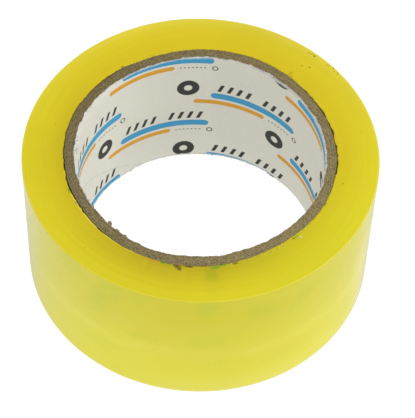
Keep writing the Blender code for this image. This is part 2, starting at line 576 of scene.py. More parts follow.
def outer_paper_material():
    """The thin printed paper on the outside of the core, stained by adhesive."""
    mat = Material("outer_paper", rough=0.7)
    x, y, z = mat.position()
    angle = mat.angle(x, y)
    dark, blue, orange = print_pattern(mat, angle * (DEGREE * CORE_OUT), HALF - z)
    point = mat.vector(x, y, z)
    grain = mat.noise(point, scale=1.3, detail=4, rough=0.6)
    paper = mat.mix(grain, srgb(70, 56, 30), srgb(112, 92, 54))
    patch = mat.fade(mat.noise(point, scale=0.14, detail=2), 0.50, 0.62)
    colour = mat.mix(blue * patch * 0.8, paper, srgb(64, 132, 60))
    colour = mat.mix(orange * patch * 0.8, colour, srgb(186, 110, 30))
    colour = mat.mix(dark * 0.6, colour, srgb(50, 42, 24))
    # painted shade: the ends are dark where the tape gapes, as shade in the crack, and pale where it is
    # shut
    left = mat.sector(angle, 182.0, 68.0, 46.0)
    right = mat.sector(angle, 12.0, 36.0, 20.0)
    shut = 1.0 - mat.largest(left, right)
    end = mat.fade(abs(z), HALF - 0.9, HALF - 0.3)
    colour = mat.mix(end * shut * 0.7, colour, srgb(132, 112, 56))
    colour = mat.mix(end * (1.0 - shut) * 0.7, colour, srgb(44, 34, 18))
    mat.set("Base Color", colour)
    mat.bump(grain, strength=0.4, distance=0.0001)
    return mat.data


def speckled_material(name, rough, scale, low, high):
    """Plain matt matter, mottled between two colours."""
    mat = Material(name, rough=rough)
    mottle = mat.noise(mat.vector(*mat.position()), scale=scale, detail=2)
    mat.set("Base Color", mat.mix(mottle, low, high))
    return mat.data


def white_fibre_material():
    return speckled_material(
        "liner_fibre", rough=0.7, scale=2.5, low=srgb(206, 200, 186), high=srgb(238, 236, 228)
    )


# ---------------------------------------------------------------- tape materials

# Spots of grime and ink, and faint olive patches, on the first turns of the top end:
# angle, distance out from the core, half widths round (degrees) and out (mm), and
# lean if any.
ORANGE_SPOTS = (
    (251.0, 0.4, 6.0, 1.1, 0.8), (274.6, 0.3, 2.2, 0.55), (62.0, 0.2, 1.6, 0.5),
)
GREEN_SPOTS = (
    (202.2, 0.35, 2.0, 0.6), (256.5, 0.6, 1.5, 0.65), (277.6, 0.7, 3.0, 0.8, -1.6),
    (280.8, 0.3, 1.6, 0.5), (314.2, 0.2, 1.2, 0.4),
)
DARK_SPOTS = (
    (202.5, 0.1, 2.2, 0.5), (209.0, 0.2, 1.7, 0.55), (262.4, 0.8, 1.7, 1.2, 0.3),
    (263.2, 1.3, 1.3, 1.3, 0.3), (266.6, 0.3, 2.4, 0.7), (267.6, 0.5, 1.6, 0.55),
    (285.8, 0.2, 1.8, 0.5), (312.8, 0.1, 1.2, 0.3), (335.2, 0.05, 1.8, 0.3),
    (128.0, 0.3, 1.0, 0.5),
)
# faint olive patches, soft and wide
FAINT_SPOTS = (
    (201.8, 0.6, 2.4, 0.8), (259.4, 0.9, 2.1, 1.0), (264.6, 1.0, 1.0, 0.9),
    (275.6, 1.9, 2.2, 1.0, -1.4), (276.0, 3.4, 3.4, 3.0), (285.9, 0.3, 2.4, 0.6),
    (314.0, 0.4, 2.4, 0.9), (335.0, 0.3, 2.8, 0.8),
)

# The core's print as seen through the wall: angle, height, half widths round
# (degrees) and up (mm) before spreading, lean, and strength.
WALL_PRINT = (
    (273.5, 21.5, 3.6, 4.2, 0.25, 1.0), (240.5, 16.0, 4.0, 10.5, 0.50, 0.9),
    (226.5, 20.0, 4.2, 3.6, 0.3, 0.6), (251.5, 22.0, 3.0, 2.8, 0.5, 0.5),
    (291.0, 16.5, 3.8, 4.0, -0.3, 0.65), (306.5, 16.0, 3.6, 6.0, 0.55, 0.6),
    (276.5, 4.2, 7.0, 3.6, 1.0, 0.5), (253.5, 2.0, 4.6, 2.0, 0.0, 0.65),
    (238.0, -11.0, 6.0, 2.2, 1.2, 0.42), (278.5, -9.0, 1.6, 2.6, 0.0, 0.36),
    (214.0, 9.0, 4.0, 5.0, 0.4, 0.3), (214.0, -12.0, 4.0, 4.0, 0.0, 0.25),
    (317.0, 13.5, 4.5, 9.0, 0.0, 0.3), (296.5, -12.5, 5.0, 2.2, 0.0, 0.18),
)
WALL_PRINT_SPREAD = (1.6, 1.55)  # widens the spots round and up


def add_view_depth(mat, colour, x, y, radius):
    """The turns are clear, so the line of sight runs on into the roll: towards
    the brown core from one side, out to the pale wall from the other."""
    view = mat.outward_view(x, y, radius)
    inward = mat.fade(view, 0.05, 0.75)
    near_core = mat.math("EXPONENT", (radius - CORE_OUT) * -0.30)
    colour = mat.mix(inward * near_core * 0.40, colour, srgb(142, 122, 14))
    colour = mat.mix(inward * 0.10, colour, srgb(186, 188, 16))
    away = mat.fade(view, -0.05, -0.70)
    near_rim = mat.math("EXPONENT", (radius - ROLL_OUT) * 0.55)
    colour = mat.mix(away * 0.30, colour, srgb(212, 184, 16))
    return mat.mix(away * near_rim * 0.60, colour, srgb(222, 208, 84))


def add_painted_shade_and_tint(mat, colour, angle, depth):
    """Broad sectors of painted shade, where the yellow is darker and duller: round 52 degrees towards the
    rim, and by the core round 268 and 178 degrees; and one sector greener, round 318 degrees.
    """
    # painted shade in the outer, shade and dusk sectors; lime only tints greener
    outer = mat.sector(angle, 52.0, 60.0, 10.0) * mat.fade(depth, 0.1, 0.9)
    lime = mat.sector(angle, 318.0, 50.0, 8.0)
    shade = mat.sector(angle, 268.0, 50.0, 10.0) * mat.fade(depth, 0.75, 0.0)
    colour = mat.scale(colour, 1.0 - outer * 0.09 - shade * 0.10)
    colour = mat.mix(lime * 0.22, colour, srgb(196, 200, 22))
    dusk = mat.sector(angle, 178.0, 42.0, 12.0) * mat.fade(depth, 0.35, 0.0)
    return mat.scale(colour, 1.0 - dusk * 0.07)


def add_smears(mat, colour, radius, angle, depth):
    """Radial smears left by the knife, pale and dark."""
    smear = mat.noise(mat.vector(angle * 0.45, radius * 0.05, 7.0), detail=2)
    near = mat.fade(depth, 0.75, 0.0)
    some = mat.sector(angle, 262.0, 30.0, 10.0) * 0.3 + 0.4
    pale = mat.fade(smear, 0.54, 0.76) * near * mat.fade(some, 0.45, 0.65)
    colour = mat.mix(pale * 0.12, colour, srgb(226, 214, 60))
    dark = mat.fade(smear, 0.46, 0.28) * near * mat.fade(some, 0.45, 0.65)
    return mat.mix(dark * 0.14, colour, srgb(160, 146, 12))


def add_grime(mat, colour, point, z, radius, angle, depth, warp, top):
    """Grime and ink from the core's printed paper, dragged over the first turns, and faint olive patches.
    """
    warped_angle = angle + warp * 2.0
    from_core = radius - CORE_OUT + warp * 0.6

    def spots(table):
        return mat.largest(*(
            mat.blob(mat.about(warped_angle, centre), from_core - out, *shape)
            for centre, out, *shape in table
        ))

    rough = mat.fade(mat.noise(point, scale=2.6, rough=0.7), 0.36, 0.56)
    # the bottom end is stained by noise in place of the spots
    bottom = 1.0 - top
    stain = mat.noise(mat.vector(angle * 0.2, radius * 0.4, z), rough=0.65)
    stain = mat.fade(stain, 0.58, 0.68) * mat.fade(depth, 0.12, 0.0) * bottom
    orange = mat.largest(spots(ORANGE_SPOTS) * top, stain * 0.5) * rough
    colour = mat.mix(orange * 0.55, colour, srgb(198, 112, 14))
    # faint olive patches
    colour = mat.mix(spots(FAINT_SPOTS) * top * 0.22, colour, srgb(112, 150, 20))
    green = mat.largest(spots(GREEN_SPOTS) * top, stain) * (rough * 0.5 + 0.5)
    colour = mat.mix(green * 0.9, colour, srgb(78, 152, 22))
    dark = spots(DARK_SPOTS) * top * (rough * 0.5 + 0.5)
    return mat.mix(dark * 0.9, colour, srgb(72, 62, 14))


def add_edges(mat, colour, radius, angle, top):
    """The shaded band, the pale rim, and the painted highlights and dark dots beside the core."""
    # one faint shaded band right across the end
    band = mat.blob(mat.about(angle, 276.5), radius - 45.0, half_x=6.0, half_y=11.0)
    colour = mat.mix(band * top * 0.08, colour, srgb(120, 120, 14))
    # the outermost turns let the wall's paler light through
    rim = mat.fade(radius, ROLL_OUT - 0.55, ROLL_OUT + 0.05)
    colour = mat.mix(rim * 0.6, colour, srgb(224, 215, 78))
    # painted highlight: a thin pale line where the first turns stand clear of the core
    line = mat.sector(angle, 228.0, 40.0, 24.0) * top
    line = line * mat.fade(abs(radius - CORE_OUT - 0.28), 0.24, 0.06)
    colour = mat.mix(line * 0.55, colour, srgb(236, 224, 96))
    # painted highlights: pale dots along the first turn's edge, and darker dots among them
    dots = mat.noise(mat.vector(angle * 3.2, radius * 2.0, 1.0), detail=1)
    edge = mat.fade(radius, CORE_OUT + 0.45, CORE_OUT + 0.05)
    colour = mat.mix(edge * mat.fade(dots, 0.5, 0.66) * 0.5, colour, srgb(232, 220, 90))
    return mat.mix(edge * mat.fade(dots, 0.46, 0.34) * 0.55, colour, srgb(110, 92, 24))


def cut_end_material():
    """The knife-cut end of the winding: deep yellow, finely ringed, matt."""
    mat = Material("tape_cut_end", rough=0.42, ior=1.47)
    x, y, z = mat.position()
    radius, angle = mat.radius(x, y), mat.angle(x, y)
    point = mat.vector(x, y, z)
    top = mat.fade(z, 0.0, 1.0)
    warp = mat.noise(mat.vector(x * 0.35, y * 0.35, 2.0), rough=0.6) - 0.5
    depth = (radius - CORE_OUT) / (ROLL_OUT - CORE_OUT)  # 0 at the core, 1 outside
    # painted shade and light: darker by the core and brighter out to the rim, where light comes in
    # through the wall
    colour = mat.mix(mat.fade(depth, -0.15, 1.0), srgb(197, 177, 10), srgb(208, 194, 24))
    colour = add_view_depth(mat, colour, x, y, radius)

    # winding lines: fine rings, each one strong for only part of a turn
    wave = mat.noise(mat.vector(radius * 1.15, angle * 0.010, z * 0.02), detail=2, rough=0.6)
    fine = mat.noise(mat.vector(radius * 5.0, angle * 0.02, 3.0), rough=0.65)
    patch = mat.noise(point, scale=0.06, detail=2)
    rings = (wave - 0.5) * 0.16 + (fine - 0.5) * 0.16
    broad = (mat.noise(mat.vector(x * 0.03, y * 0.03, z), detail=2) - 0.5) * 0.16
    colour = mat.scale(colour, 1.0 + rings * mat.fade(patch, 0.3, 0.62) + broad)

    colour = add_painted_shade_and_tint(mat, colour, angle, depth)
    colour = add_smears(mat, colour, radius, angle, depth)
    colour = add_grime(mat, colour, point, z, radius, angle, depth, warp, top)
    colour = add_edges(mat, colour, radius, angle, top)
    mat.set("Base Color", colour)
    mat.set("Roughness", mat.fade(wave, 0.2, 0.9) * 0.16 + 0.38)
    mat.set("Specular IOR Level", 0.22)
    mat.bump(wave * 0.5 + fine * 0.8, strength=0.35, distance=0.00006)
    return mat.data


def add_wall_print(mat, colour, z, angle, cloud, fine):
    """The print on the core's outer paper, seen dimly through the turns."""
    warped_angle = angle + (cloud - 0.5) * 5.0 + (fine - 0.5) * 3.0
    warped_z = z + (fine - 0.5) * 3.5
    spread_round, spread_up = WALL_PRINT_SPREAD
    spots = []
    for centre, height, width, tall, lean, strength in WALL_PRINT:
        off = mat.about(warped_angle, centre)
        half_x, half_y = width * spread_round, tall * spread_up
        spots.append(mat.blob(off, warped_z - height, half_x, half_y, lean) * strength)
    # the +Y side has soft green patches in place of the spots
    green = mat.noise(
        mat.vector(angle * 0.05 + warped_z * 0.02, z * 0.075, 2.0), detail=2, rough=0.5
    )
    upper = mat.fade(z, -HALF * 0.5, HALF * 0.8)
    rear = mat.fade(mat.math("SINE", angle * DEGREE), -0.45, 0.1)
    behind = mat.fade(green, 0.52, 0.68) * (upper * 0.7 + 0.3) * rear
    shade = mat.largest(mat.largest(*spots), behind)
    broken = mat.noise(mat.vector(angle * 0.25, z * 0.30, 8.0), rough=0.6)
    return mat.mix(shade * mat.fade(broken, 0.10, 0.75) * 0.25, colour, srgb(150, 190, 46))


def wall_material():
    """The roll's outer surface: hundreds of clear turns over a printed core,
    with soft pale bands, and painted light and reflections."""
    mat = Material("tape_wall", rough=0.2, ior=1.45)
    x, y, z = mat.position()
    angle = mat.angle(x, y)
    # painted light: lighter towards the bottom, where the floor's light falls
    colour = mat.mix(mat.fade(z, HALF * 0.9, -HALF), srgb(214, 205, 22), srgb(232, 224, 56))
    band = mat.noise(mat.vector(angle * 0.02, z * 0.16, 5.0), detail=4, rough=0.6)
    cloud = mat.noise(mat.vector(x * 0.05, y * 0.05, z * 0.09))
    fine = mat.noise(mat.vector(x * 0.25, y * 0.25, z * 0.4), rough=0.6)
    small = mat.noise(mat.vector(x * 0.55, y * 0.55, z * 0.75), rough=0.6)
    colour = mat.scale(colour, 0.955 + cloud * 0.06 + small * 0.03)

    # a paler milky belt round the middle, wandering a little, and paler bands above it
    belt_z = z + 3.6 + (cloud - 0.5) * 4.0 + (fine - 0.5) * 3.0
    belt = mat.fade(abs(belt_z), 5.2, 0.2) * (mat.fade(fine, 0.25, 0.7) * 0.6 + 0.4)
    torn = mat.noise(mat.vector(angle * 0.085, z * 0.12, 11.0), rough=0.6)
    belt = belt * (mat.fade(torn, 0.34, 0.62) * 0.30 + 0.10)
    colour = mat.mix(belt, colour, srgb(239, 229, 88))
    milk = mat.fade(z, -3.0, 4.0) * mat.fade(band, 0.35, 0.8)
    colour = mat.mix(milk * 0.15, colour, srgb(220, 211, 84))

    # painted reflections and light: paler upper -X side and +X side, where the wall reflects the white
    # surroundings near its outline; paler front low down, where the floor's light falls; and a paler
    # bottom edge, a painted reflection of the floor
    painted_left_reflection = mat.sector(angle, 186.0, 26.0, 4.0) * mat.fade(z, -8.0, 22.0)
    colour = mat.mix(painted_left_reflection * 0.35, colour, srgb(240, 226, 140))
    painted_right_reflection = mat.sector(angle, 349.0, 22.0, 3.0)
    colour = mat.scale(colour, 1.0 + painted_right_reflection * 0.15)
    colour = mat.mix(painted_right_reflection * mat.fade(z, 17.0, 3.0) * 0.42, colour, srgb(246, 241, 184))
    painted_floor_light = mat.sector(angle, 302.0, 60.0, 30.0) * mat.fade(z, -14.0, -24.0)
    colour = mat.mix(painted_floor_light * 0.22, colour, srgb(245, 238, 132))
    painted_floor_reflection = mat.fade(z, -HALF + 1.5, -HALF + 0.1)
    colour = mat.mix(painted_floor_reflection * 0.6, colour, srgb(243, 238, 150))

    mat.set("Base Color", add_wall_print(mat, colour, z, angle, cloud, fine))
    mat.set("Roughness", mat.fade(band, 0.2, 0.9) * 0.12 + 0.09)
    ripple = mat.noise(mat.vector(angle * 0.12, z * 0.25, 1.0), rough=0.5)
    mat.bump(ripple, strength=0.25, distance=0.00012)
    return mat.data


def film_material():
    """One thickness of tape: clear film, yellow adhesive on its inner side."""
    mat = Material("tape_film", rough=0.12, ior=1.5)
    along, across = (
        mat.out(mat.node("ShaderNodeAttribute", attribute_name=name), "Fac")
        for name in ("film_along", "film_across")
    )
    streak = mat.noise(mat.vector(along * 0.06, across * 0.5, 2.0), detail=4, rough=0.6)
    cloud = mat.noise(mat.vector(along * 0.09, across * 0.09, 6.0))
    colour = mat.mix(mat.fade(streak, 0.3, 0.75), srgb(243, 232, 72), srgb(250, 242, 108))
    mat.set("Base Color", mat.scale(colour, 0.97 + cloud * 0.06))
    mat.set("Roughness", mat.fade(streak, 0.2, 0.9) * 0.12 + 0.08)
    mat.set("Alpha", 0.18)
    mat.bump(cloud + streak * 0.3, strength=0.2, distance=0.0001)
    return mat.data


# ---------------------------------------------------------------- the core

# How far the core's cut end strays from round at every 10 degrees: the bore
# side and the tape side.
BORE_STRAY = np.array([
    0.51, 0.46, 0.45, -0.01, 0.09, 0.01, 0.57, 0.68, 0.41, 0.62, 0.26, -0.04,
    -0.02, 0.15, 0.55, 0.74, 0.81, 0.73, 0.63, 0.49, 0.35, 0.28, -0.19, 0.22,
    0.45, 0.51, 0.42, 0.11, 0.15, -0.4, -0.15, -0.27, -0.18, 0.07, 0.33, 0.52,
])
TAPE_STRAY = np.array([
    0.05, -0.23, -0.32, -0.63, -0.55, -0.2, -0.02, 0.08, 0.03, -0.02, -0.29, -0.52,
    -0.52, -0.1, -0.02, 0.17, 0.35, 0.26, 0.13, -0.1, 0.01, -0.17, -0.1, 0.12,
    0.17, 0.3, 0.39, 0.23, -0.07, -0.5, -0.69, -0.68, -0.47, -0.19, -0.05, -0.22,
])
STRAY_FADE = 0.9  # depth over which the straying dies away below an end
BOTTOM_SHIFT = 0.37  # turns between the top end's shape and the bottom end's
END_DEPTH = 0.02  # points within this depth belong to the cut end
KRAFT_TONE = (1.0, 0.9, 1.07, 0.93, 1.05, 0.9, 0.97)  # brightness of each ply


def edge_wobble(turn, part, low):
    """How far the knife pushed the core's end in or out, at the bore (part 0)
    and at the tape (part 1). low is 1 at the bottom end."""
    turn = turn + low * BOTTOM_SHIFT
    inner = 0.10 * ring_noise(turn, 71, 11) + 0.14 * ring_noise(turn, 163, 12)
    inner = inner + 0.08 * ring_noise(turn, 410, 13)
    outer = 0.05 * ring_noise(turn, 83, 22) + 0.06 * ring_noise(turn, 230, 23)
    inner = (round_curve(turn, BORE_STRAY) + inner) * (1 - 0.65 * low)
    outer = (round_curve(turn, TAPE_STRAY) + outer) * (1 - 0.4 * low)
    return inner * (1 - part) + outer * part


def strip_turn(name, around, z, seam_radius, helix_radius):
    """Turn of a point on a helical strip that leaves a gap at its seam."""
    helix = math.atan2(PITCH, TURN * helix_radius)
    gap = SEAM_GAP / math.sin(helix) / (TURN * seam_radius)  # as a part of a turn
    return seam_angle(name, z) / 360 + gap / 2 + around * (1 - gap)


def build_liner():
    """The printed liner, with fine rows because its whole bore side is seen."""

    def place(around, wall, z):
        turn = strip_turn("liner_ply", around, z, BORE, BORE)
        low = z < 0
        depth = HALF - np.abs(z)
        radius = BORE + (LINER_OUT - BORE) * wall
        radius = radius + edge_wobble(turn, 0.0, low) * np.exp(-depth / STRAY_FADE)
        # soft dents in the paper, and the step of the seam behind it
        dents = 0.035 * grid_noise(turn, (z + HALF) / (2 * HALF), 34, 7, 31)
        off = ((turn * 360 - seam_angle("kraft_ply_1", z)) / 360 + 0.5) % 1.0 - 0.5
        across = off * TURN * BORE * math.sin(math.atan2(PITCH, TURN * BORE))
        groove = 0.05 * np.exp(-((across / 0.35) ** 2))
        groove = groove + 0.03 * step(across, -1.2, 0) * step(across, 6, 0)
        radius = radius + (dents * step(depth, 0, 4) + groove) * (1 - wall)
        end = step(depth, END_DEPTH, 0.0)
        torn = 0.16 * ring_noise(turn + low * 0.4, 190, 41) + 0.10 * ring_noise(turn, 520, 42)
        bite = np.clip(ring_noise(turn + low * 0.3, 60, 43) - 0.62, 0, 1) * 1.3
        return polar(turn, radius, z - np.sign(z) * end * (0.20 + torn + bite))

    rows = end_rows([0, 0.25, 0.6, 1.1], inset=2, count=41)
    obj = block(
        "liner_strip", columns=961, walls=[0.0, 1.0], rows=rows, place=place,
        wrap=False, sharp=45, materials=[liner_material()], spacing=3,
    )
    roll_part(obj, "liner_paper", "liner_ply")


def build_ply(name, inner, outer, wall_points, rag, material, slot):
    """One paper strip wound as a helix, with ragged cut ends."""
    seed = sum(ord(letter) for letter in name)

    def place(around, wall, z):
        turn = strip_turn(name, around, z, inner, (inner + outer) / 2)
        low = z < 0
        depth = HALF - np.abs(z)
        part = (inner + (outer - inner) * wall - BORE) / (CORE_OUT - BORE)
        radius = inner + (outer - inner) * wall
        radius = radius + edge_wobble(turn, part, low) * np.exp(-depth / STRAY_FADE)
        end = step(depth, END_DEPTH, 0.0)
        fuzz = rag * (
            0.55 * grid_noise(turn + low * 0.21, wall, 620, 3, seed)
            + 0.45 * grid_noise(turn, wall, 1500, 4, seed + 1)
        )
        crown = 0.05 * np.sin(np.pi * wall) - rag * 0.55
        return polar(turn, radius, z + np.sign(z) * end * (fuzz + crown))

    obj = block(
        name + "_strip", columns=1101, walls=np.linspace(0, 1, wall_points),
        rows=end_rows([0, 0.12, 0.7], inset=2.0, count=24), place=place,
        wrap=False, sharp=45, materials=[material], spacing=5,
    )
    roll_part(obj, slot, name)


def build_core():
    build_liner()
    inner = LINER_OUT
    for number, (name, tone) in enumerate(zip(KRAFT, KRAFT_TONE), 1):
        outer = node_radii(name)[1]
        material = kraft_material(f"core_board_{number}", number, tone)
        build_ply(name, inner + PLY_GAP, outer, 5, 0.14, material, "kraft_board")
        inner = outer
    material = outer_paper_material()
    build_ply("outer_ply", inner + PLY_GAP, CORE_OUT, 2, 0.16, material, "outer_paper")


# ---------------------------------------------------------------- the wound tape

RING_LEVELS = np.random.default_rng(61).uniform(-1, 1, 97)  # height of each ring


def gape(turn, low):
    """Width of the dark crack between core and tape."""

    def from_centre(centre):
        return np.abs((turn * 360 - centre + 180) % 360 - 180)

    wide = np.maximum(step(from_centre(178), 58, 40), step(from_centre(12), 36, 20))
    wide = wide * (1 - low) + low * step(ring_noise(turn, 9, 57), 0.0, 0.3)
    ragged = 0.22 + 0.16 * ring_noise(turn, 71, 53) + 0.20 * ring_noise(turn, 230, 58)
    return np.clip(-0.06 + wide * ragged, -0.06, 0.52)


def roll_wave(turn):
    """The roll's slight departure from round."""
    angle = turn * TURN
    wave = 0.012 * np.cos(angle + 0.3) + 0.008 * np.cos(3 * angle - 2.2)
    return wave + 0.008 * ring_noise(turn, 18, 51) - 0.012


def place_winding(turn, wall, z):
    inner = CORE_OUT + 0.03
    depth = HALF - np.abs(z)
    low = z < 0
    radius = inner + (ROLL_SKIN - inner) * wall
    # outer surface: slightly out of round, with faint ripples of the film
    skin = wall**6
    radius = radius + skin * roll_wave(turn)
    radius = radius + skin * 0.007 * grid_noise(turn, (z + HALF) / (2 * HALF), 60, 9, 52)
    # the boundary with the core follows the knife, and gapes in places
    core = np.exp(-depth / STRAY_FADE) * np.exp(-wall * 9)
    radius = radius + core * (edge_wobble(turn, 1.0, low) + gape(turn, low))
    # cut ends: rings of turns that stand a little proud or sunk
    end = step(depth, END_DEPTH, 0.0)
    ring = RING_LEVELS[np.clip(np.floor(wall * 96).astype(int), 0, 96)]
    wobble = grid_noise(turn + low * 0.31, wall, 40, 18, 54)
    broad = grid_noise(turn + low * 0.17, wall, 7, 2, 55)
    rise = 0.010 * ring * (0.4 + 0.6 * ring_noise(turn, 11, 56)) + 0.010 * wobble
    rise = rise + 0.03 * broad - 0.035
    # the rim and the edge by the core are slightly rounded over
    rim = np.clip((wall - 0.986) / 0.014, 0, 1)
    lip = np.clip((0.02 - wall) / 0.02, 0, 1)
    rise = rise - 0.10 * rim * rim - 0.16 * lip * lip
    pull = step(depth, 0.12, 0.0) * np.clip((wall - 0.998) / 0.002, 0, 1)
    return polar(turn, radius - 0.05 * pull, z + np.sign(z) * end * rise)


def build_winding():
    walls = [[0.0, 0.006, 0.014], 0.02 + 0.966 * np.linspace(0, 1, 40), [0.992, 0.997, 1.0]]
    obj = block(
        "tape_winding_skin", columns=660, walls=np.concatenate(walls),
        rows=end_rows([0, 0.04, 0.12, 0.3, 0.8], inset=1.6, count=21), place=place_winding,
        wrap=True, sharp=60, materials=[wall_material(), cut_end_material()],
    )
    # the cut ends and the bore side take the second material
    x, y, z = read_vectors(obj.data.polygons, "center").T / MM
    radius = np.hypot(x, y)
    flat = (np.abs(z) > HALF - 0.19) & (radius < ROLL_SKIN - 0.02)
    cut = flat | (radius < CORE_OUT + 1.2)
    obj.data.polygons.foreach_set("material_index", cut.astype(np.int32))
    roll_part(obj, "tape_roll", "tape_winding")


# ---------------------------------------------------------------- the free end

FILM_THICK = 0.055
FILM_START = PEEL + LINK_ARC
FILM_TIP = PEEL - LINK_ARC * LINKS
# The angle at the middle of each link of the free end, where the film's pieces end.
FILM_MIDDLES = [PEEL + LINK_ARC / 2] + [PEEL - LINK_ARC * (i - 0.5) for i in range(1, LINKS + 1)]


def film_radius(angle):
    """Inner radius of the free end: it rises out of the winding over the
    contact length and lies close to it from there on."""
    low, high = ROLL_SKIN - 0.09, ROLL_SKIN + 0.035
    return low + (high - low) * step(angle, FILM_START, FILM_START - 6.5)


def film_point(angle):
    """Point on the film's inner side at z = 0, in metres."""
    reach, turned = FILM_IN * MM, math.radians(angle)
    return Vector((reach * math.cos(turned), reach * math.sin(turned), 0))


def build_film_piece(k, material):
    first, last = k == 0, k == LINKS - 1
    high = FILM_START if first else FILM_MIDDLES[k]
    low = FILM_TIP if last else FILM_MIDDLES[k + 1]

    def place(around, wall, z):
        angle = low + (high - low) * around
        # the cut tip is a straight line with the small bites of a blade
        if last:
            bite = 0.06 * np.sin(z * 7.3) + 0.05 * np.sin(z * 17.1 + 1.0)
            angle = angle + np.degrees(bite / FILM_IN) * step(around, 0.06, 0.0)
        lift = 0.006 * grid_noise((angle % 360) / 360, (z + HALF) / (2 * HALF), 60, 7, 71)
        return polar(angle / 360, film_radius(angle) + lift + FILM_THICK * wall, z)

    obj = block(
        f"tape_film_{k + 1}", columns=int(round((high - low) * 6)) + 1, walls=[0.0, 1.0],
        rows=np.linspace(-HALF + 0.03, HALF - 0.03, 41), place=place,
        wrap=False, sharp=40, materials=[material],
    )
    # distances along and across the film, in mm, for its material
    x, y, z = read_vectors(obj.data.vertices, "co").T
    angle = np.degrees(np.arctan2(y, x)) % 360
    along = (FILM_START - angle) * math.pi / 180 * FILM_IN
    for name, values in (("film_along", along), ("film_across", z / MM)):
        attribute = obj.data.attributes.new(name, "FLOAT", "POINT")
        attribute.data.foreach_set("value", values.astype(np.float32))

    start = film_point(PEEL if first else FILM_MIDDLES[k])
    end = film_point(FILM_MIDDLES[k + 1])
    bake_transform(obj)
    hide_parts(f"tape_end_{k + 1}", *(["tape_contact"] if first else []))


def build_film():
    material = film_material()
    for k in range(LINKS):
        build_film_piece(k, material)


# ---------------------------------------------------------------- torn fibres and dust

# Flakes on the bore's top edge: angle, radius, length, width, thickness.
FLAKES = (
    (226.2, BORE + 0.15, 0.95, 1.05, 0.45),
    (225.5, BORE - 0.05, 0.65, 0.6, 0.4),
    (227.2, BORE + 0.10, 0.6, 0.6, 0.35),
    (231.5, BORE + 0.10, 0.35, 1.3, 0.30),
    (236.0, BORE + 0.15, 0.3, 1.0, 0.25),
    (214.0, BORE + 0.10, 0.35, 1.2, 0.25),
    (55.0, BORE + 0.25, 0.5, 0.7, 0.2),
)
# Shreds at the bore's bottom edge: angle, length, width, drift round the bore.
SHREDS = (
    (127.3, 1.7, 0.55, 0.5), (128.6, 1.0, 0.35, -0.4), (122.0, 0.7, 0.5, 0.2),
    (54.6, 2.0, 0.45, -1.6), (53.2, 1.2, 0.6, -0.6), (50.5, 0.8, 0.4, 0.3),
    (97.0, 0.5, 0.5, 0.2), (78.0, 0.6, 0.4, -0.3), (148.0, 0.8, 0.5, 0.3),
)
# Specks on the top end: angle, radius, length, width.
SPECKS = (
    (51.8, 53.0, 1.0, 0.26), (50.8, 53.2, 0.7, 0.22), (49.2, 53.6, 0.6, 0.46),
    (49.5, 53.3, 0.4, 0.30), (47.0, 49.0, 0.55, 0.46), (47.3, 48.8, 0.5, 0.30),
    (48.2, 48.6, 0.9, 0.20), (49.6, 47.9, 0.9, 0.14), (43.6, 53.7, 0.6, 0.36),
    (42.8, 53.7, 0.5, 0.34), (43.9, 52.9, 0.6, 0.18), (41.0, 53.8, 0.9, 0.24),
    (40.1, 53.6, 1.0, 0.20), (39.2, 54.0, 0.9, 0.26), (38.4, 53.7, 0.7, 0.20),
    (347.5, 44.3, 0.40, 0.44), (12.0, 50.2, 0.25, 0.2), (168.0, 46.0, 0.35, 0.2),
    (228.0, 49.5, 0.3, 0.18),
)
# Hairs on the top end: angle, radius, length, lean, width.
END_HAIRS = (
    (50.3, 41.7, 2.4, -0.9, 0.12), (49.4, 41.8, 1.1, -0.6, 0.11), (51.6, 41.6, 0.7, -0.3, 0.16),
)


def hair(points, width, thickness):
    """A closed ribbon along points, tapering to both ends: points and faces."""
    points = np.asarray(points, float)
    count = len(points)
    tangent = np.gradient(points, axis=0)
    tangent /= np.linalg.norm(tangent, axis=1)[:, None]
    side = np.cross(tangent, [0.31, 0.17, 0.93])
    side /= np.linalg.norm(side, axis=1)[:, None]
    rise = np.cross(side, tangent)
    taper = np.sqrt(np.clip(1 - np.linspace(-1, 1, count) ** 4, 0.04, 1))[:, None]
    side = side * width / 2 * taper
    rise = rise * thickness / 2 * taper
    ribbon = np.stack([points + side, points + rise, points - side, points - rise], 1)
    faces = []
    for i in range(count - 1):
        for j in range(4):
            here, beside = i * 4 + j, i * 4 + (j + 1) % 4
            faces.append([here, beside, beside + 4, here + 4])
    faces.append([3, 2, 1, 0])
    faces.append([(count - 1) * 4 + j for j in range(4)])
    return ribbon.reshape(-1, 3), faces


def join_hairs(name, hairs, material):
    faces, base = [], 0
    for points, hair_faces in hairs:
        faces += [[i + base for i in face] for face in hair_faces]
        base += len(points)
    return add_mesh(name, np.concatenate([points for points, _ in hairs]), faces, [material])


def directions(angle):
    """Unit vectors outward and along the turn at an angle."""
    x, y = math.cos(math.radians(angle)), math.sin(math.radians(angle))
    return np.array([x, y, 0.0]), np.array([-y, x, 0.0])


def curl(angle, radius, z, length, lean, rise, rng, count=7):
    """Points of a short curling fibre; lean is inward, rise is along +Z."""
    out, along = directions(angle)
    part = np.linspace(0, 1, count)[:, None]
    swing = rng.uniform(-0.8, 0.8)
    drift = length * (rng.uniform(-0.7, 0.7) * part + swing * 0.5 * part**2)
    height = z + rise * length * part * (1 - 0.3 * part)
    reach = radius - lean * length * part**1.3
    return out * reach + along * drift + np.array([0, 0, 1.0]) * height


def flake(angle, radius, z, length, rise):
    """Points of a short torn flake that stands straight inward."""
    out, _ = directions(angle)
    part = np.linspace(-0.25, 1, 6)[:, None]
    height = z + rise * length * part * part
    return out * (radius - length * part) + np.array([0, 0, 1.0]) * height


def scatter(rng, side, count, radius, sink, length, lean, rise, width, thickness):
    """Fibres at random round one end (side 1 top, -1 bottom). Pairs are the
    ranges drawn from; sink is the depth of the roots below the end."""
    hairs = []
    for _ in range(count):
        angle = rng.uniform(0, 360)
        root = rng.uniform(*radius) if isinstance(radius, tuple) else radius
        reach = rng.uniform(*length)
        leaning = rng.uniform(*lean)
        rising = side * rng.uniform(*rise)
        path = curl(angle, root, side * (HALF - sink), reach, leaning, rising, rng)
        hairs.append(hair(path, rng.uniform(*width), thickness))
    return hairs


